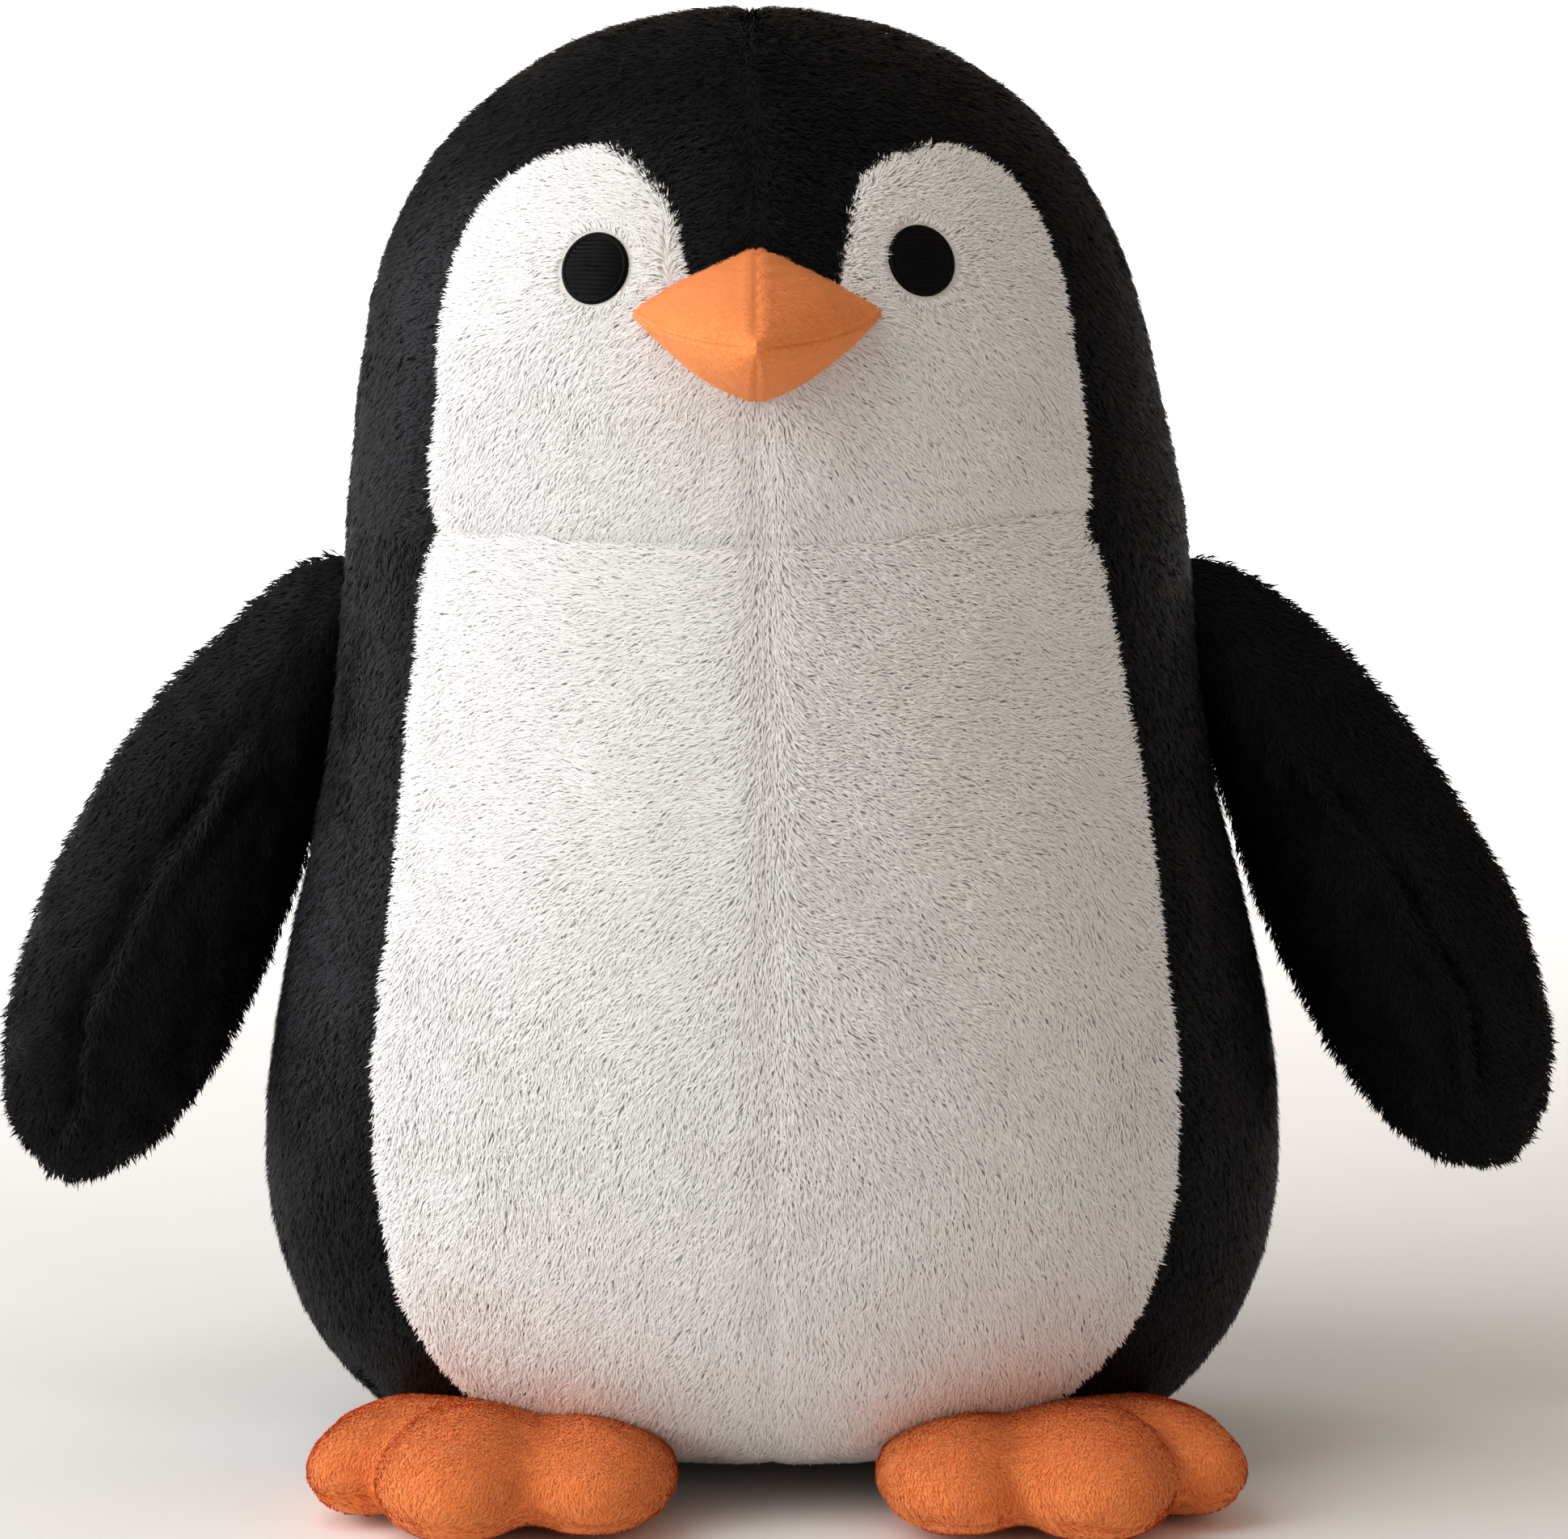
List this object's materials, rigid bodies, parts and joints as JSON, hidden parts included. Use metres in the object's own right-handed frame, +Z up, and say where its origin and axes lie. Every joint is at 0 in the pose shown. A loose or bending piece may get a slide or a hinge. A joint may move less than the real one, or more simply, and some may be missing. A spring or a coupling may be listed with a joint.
{
  "type": "plush penguin",
  "caption": "Standing plush penguin: stuffed trunk with white face and belly, sewn beak, embroidered eyes, and soft wings and feet on cloth hinges.",
  "frame": {"origin": "middle of the flat base face, on the surface the toy stands on", "axes": "+Z up, the penguin faces -Y, its own left is +X"},
  "size_m": [0.2126, 0.1214, 0.1995],
  "materials": {
    "black_plush": "short soft pile",
    "white_plush": "short soft pile",
    "orange_velour": "fine velour nap",
    "black_thread": "satin embroidery thread",
    "black_backing": "knitted backing cloth",
    "fibre_filling": "loose polyester fibre",
    "white_lining": "woven lining",
    "pellets": "loose pellets"
  },
  "bodies": {
    "trunk": {"back_panel_left": "black_plush", "back_panel_right": "black_plush", "base_panel": "black_plush", "beak_lower_panel_left": "orange_velour", "beak_lower_panel_right": "orange_velour", "beak_stuffing": "fibre_filling", "beak_upper_panel_left": "orange_velour", "beak_upper_panel_right": "orange_velour", "belly_panel_left": "white_plush", "belly_panel_right": "white_plush", "body_stuffing": "fibre_filling", "eye_embroidery_left": "black_thread", "eye_embroidery_right": "black_thread", "face_panel_left": "white_plush", "face_panel_right": "white_plush", "head_side_panel_left": "black_plush", "head_side_panel_right": "black_plush", "head_stuffing": "fibre_filling", "pellet_bag": "white_lining", "pellets": "pellets"},
    "foot_left": {"foot_sole_left": "orange_velour", "foot_stuffing_left": "fibre_filling", "foot_top_panel_left": "orange_velour"},
    "foot_right": {"foot_sole_right": "orange_velour", "foot_stuffing_right": "fibre_filling", "foot_top_panel_right": "orange_velour"},
    "wing_left": {"wing_back_panel_left": "black_plush", "wing_front_panel_left": "black_plush", "wing_stuffing_left": "fibre_filling"},
    "wing_right": {"wing_back_panel_right": "black_plush", "wing_front_panel_right": "black_plush", "wing_stuffing_right": "fibre_filling"},
    "wing_seam_left": {"wing_seam_allowance_left": "black_backing"},
    "wing_seam_right": {"wing_seam_allowance_right": "black_backing"}
  },
  "joints": [
    {"name": "wing_left_lift", "type": "hinge", "parent": "trunk", "child": "wing_seam_left", "pos_m": [0.05862, 0.01293, 0.11552], "axis": [0, -1, 0], "range_deg": [0, 70], "stiffness_Nm_per_rad": 0.03},
    {"name": "wing_left_swing", "type": "hinge", "parent": "wing_seam_left", "child": "wing_left", "pos_m": [0.05862, 0.01293, 0.11552], "axis": [0.1613, 0, -0.9869], "range_deg": [-30, 30], "stiffness_Nm_per_rad": 0.01},
    {"name": "foot_left_flex", "type": "hinge", "parent": "trunk", "child": "foot_left", "pos_m": [0.03578, -0.03103, 0.0074], "axis": [-0.9703, -0.2419, 0], "range_deg": [-10, 20], "stiffness_Nm_per_rad": 0.02},
    {"name": "wing_right_lift", "type": "hinge", "parent": "trunk", "child": "wing_seam_right", "pos_m": [-0.05862, 0.01293, 0.11552], "axis": [0, 1, 0], "range_deg": [0, 70], "stiffness_Nm_per_rad": 0.03},
    {"name": "wing_right_swing", "type": "hinge", "parent": "wing_seam_right", "child": "wing_right", "pos_m": [-0.05862, 0.01293, 0.11552], "axis": [0.1613, 0, 0.9869], "range_deg": [-30, 30], "stiffness_Nm_per_rad": 0.01},
    {"name": "foot_right_flex", "type": "hinge", "parent": "trunk", "child": "foot_right", "pos_m": [-0.03578, -0.03103, 0.0074], "axis": [-0.9703, 0.2419, 0], "range_deg": [-10, 20], "stiffness_Nm_per_rad": 0.02}
  ]
}
